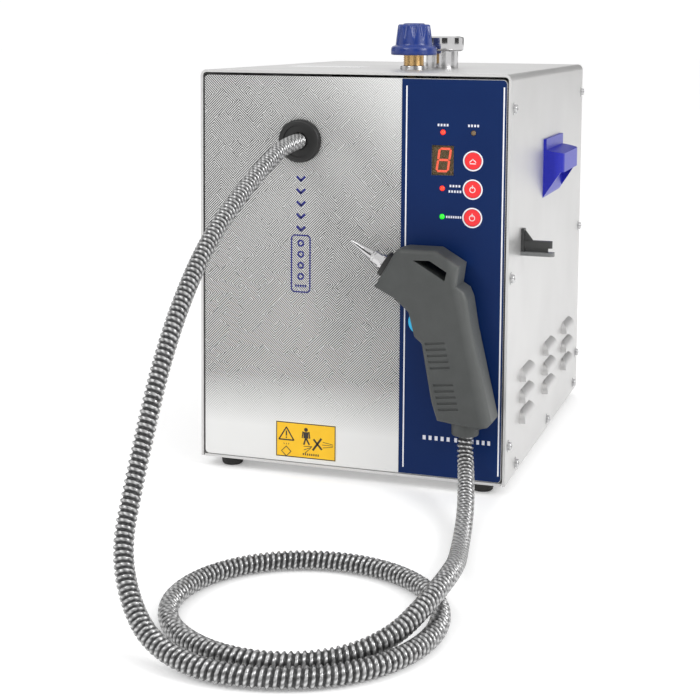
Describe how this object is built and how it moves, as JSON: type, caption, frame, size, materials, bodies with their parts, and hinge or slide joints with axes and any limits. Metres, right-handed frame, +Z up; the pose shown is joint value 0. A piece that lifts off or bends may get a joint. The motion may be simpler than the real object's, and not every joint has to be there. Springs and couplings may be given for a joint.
{
  "type": "steam cleaner",
  "caption": "Compact commercial steam cleaner: stainless cabinet with boiler and control strip, trigger gun on an armoured hose, two screw caps on top.",
  "frame": {"origin": "on the floor, under the centre of the cabinet's plan", "axes": "+X to the right seen from the front, +Y to the back, +Z up"},
  "size_m": [0.3371, 0.8837, 0.431],
  "materials": {
    "stainless_cover": "satin",
    "stainless_panel": "linen-embossed satin",
    "film_navy": "satin printed film",
    "rubber_black": "matt",
    "screw_steel": "bright plated",
    "label_print": "printed film",
    "window_smoke": "smoked",
    "module_black": "moulded",
    "board_green": "solder mask",
    "led_red": "clear dyed",
    "led_green": "clear dyed",
    "key_red": "moulded",
    "gland_black": "moulded",
    "brass": "machined",
    "hose_armour": "interlocked metal strip",
    "coil_black": "moulded",
    "plunger_steel": "ground",
    "boiler_steel": "welded stainless",
    "jacket_wool": "glass wool jacket",
    "bracket_zinc": "zinc plated",
    "element_steel": "sheathed element",
    "copper": "drawn copper",
    "tank_plastic": "translucent moulded",
    "tube_silicone": "silicone",
    "pump_plastic": "moulded",
    "rocker_black": "moulded",
    "cap_blue": "moulded",
    "hood_blue": "moulded",
    "chrome": "polished",
    "seal_rubber": "silicone",
    "hook_grey": "moulded",
    "gun_grey": "fine textured",
    "trigger_cyan": "moulded"
  },
  "bodies": {
    "root": {"outer_cover": "stainless_cover", "front_panel": "stainless_panel", "rear_panel": "stainless_cover", "base_tray": "stainless_cover", "control_film": "film_navy", "rubber_feet": "rubber_black", "cover_screws": "screw_steel", "labels": "label_print", "display_window": "window_smoke", "display_module": "module_black", "control_board": "board_green", "led_red": "led_red", "led_green": "led_green", "hose_gland": "gland_black", "gland_nut": "gland_black", "hose_fitting": "brass", "steam_hose": "hose_armour", "steam_valve": "coil_black", "boiler": "boiler_steel", "boiler_jacket": "jacket_wool", "boiler_stand": "bracket_zinc", "heating_element": "element_steel", "level_probe": "plunger_steel", "pressure_switch": "coil_black", "safety_valve": "brass", "copper_pipes": "copper", "water_tank": "tank_plastic", "tank_stand": "bracket_zinc", "feed_pump": "pump_plastic", "water_tubes": "tube_silicone", "mains_gland": "gland_black", "water_inlet": "brass", "switch_frame": "rocker_black", "drain_valve": "brass", "filler_neck": "brass", "filler_nut": "chrome", "release_neck": "chrome", "nozzle_hood": "hood_blue", "gun_hook": "hook_grey", "bracket_screws": "screw_steel", "gun_shell_outer": "gun_grey", "gun_shell_inner": "gun_grey", "trigger_switch": "coil_black", "gun_tube": "tube_silicone", "nozzle": "chrome", "nozzle_ring": "chrome", "nozzle_collar": "gland_black", "hose_boot": "gun_grey", "gun_screws": "screw_steel"},
    "filler_seal": {"filler_seal": "seal_rubber"},
    "filler_cap": {"filler_cap": "cap_blue"},
    "release_seal": {"release_seal": "seal_rubber"},
    "release_cap": {"release_cap": "chrome"},
    "key_value": {"key_value": "key_red"},
    "key_water": {"key_water": "key_red"},
    "key_heating": {"key_heating": "key_red"},
    "power_rocker": {"power_rocker": "rocker_black"},
    "drain_lever": {"drain_lever": "screw_steel"},
    "valve_plunger": {"valve_plunger": "plunger_steel"},
    "trigger": {"trigger": "trigger_cyan"}
  },
  "joints": [
    {"name": "filler_lift", "type": "slide", "parent": "root", "child": "filler_seal", "axis": [0, 0, 1], "range_m": [0, 0.0073]},
    {"name": "filler_turn", "type": "hinge", "parent": "filler_seal", "child": "filler_cap", "pos_m": [0.031, -0.096, 0.4], "axis": [0, 0, 1], "range_deg": [0, 1440]},
    {"name": "release_lift", "type": "slide", "parent": "root", "child": "release_seal", "axis": [0, 0, 1], "range_m": [0, 0.0073]},
    {"name": "release_turn", "type": "hinge", "parent": "release_seal", "child": "release_cap", "pos_m": [0.0425, -0.031, 0.405], "axis": [0, 0, 1], "range_deg": [0, 1440]},
    {"name": "key_value_press", "type": "slide", "parent": "root", "child": "key_value", "axis": [0, 1, 0], "range_m": [0, 0.0008], "stiffness_N_per_m": 1500, "springref_m": -0.0004},
    {"name": "key_water_press", "type": "slide", "parent": "root", "child": "key_water", "axis": [0, 1, 0], "range_m": [0, 0.0008], "stiffness_N_per_m": 1500, "springref_m": -0.0004},
    {"name": "key_heating_press", "type": "slide", "parent": "root", "child": "key_heating", "axis": [0, 1, 0], "range_m": [0, 0.0008], "stiffness_N_per_m": 1500, "springref_m": -0.0004},
    {"name": "power_rocker_tilt", "type": "hinge", "parent": "root", "child": "power_rocker", "pos_m": [-0.1, 0.197, 0.12], "axis": [1, 0, 0], "range_deg": [0, 16]},
    {"name": "drain_lever_turn", "type": "hinge", "parent": "root", "child": "drain_lever", "pos_m": [0.03, 0.216, 0.06], "axis": [0, 0, 1], "range_deg": [0, 90]},
    {"name": "valve_plunger_lift", "type": "slide", "parent": "root", "child": "valve_plunger", "axis": [0, 0, 1], "range_m": [0, 0.003], "stiffness_N_per_m": 300, "springref_m": -0.001},
    {"name": "trigger_press", "type": "slide", "parent": "root", "child": "trigger", "axis": [0.9728, 0, 0.2316], "range_m": [0, 0.004], "stiffness_N_per_m": 500, "springref_m": -0.002}
  ],
  "couplings": [
    {"joint": "filler_lift", "follows": "filler_turn", "m_per_rad": 0.00028648},
    {"joint": "release_lift", "follows": "release_turn", "m_per_rad": 0.00028648}
  ]
}
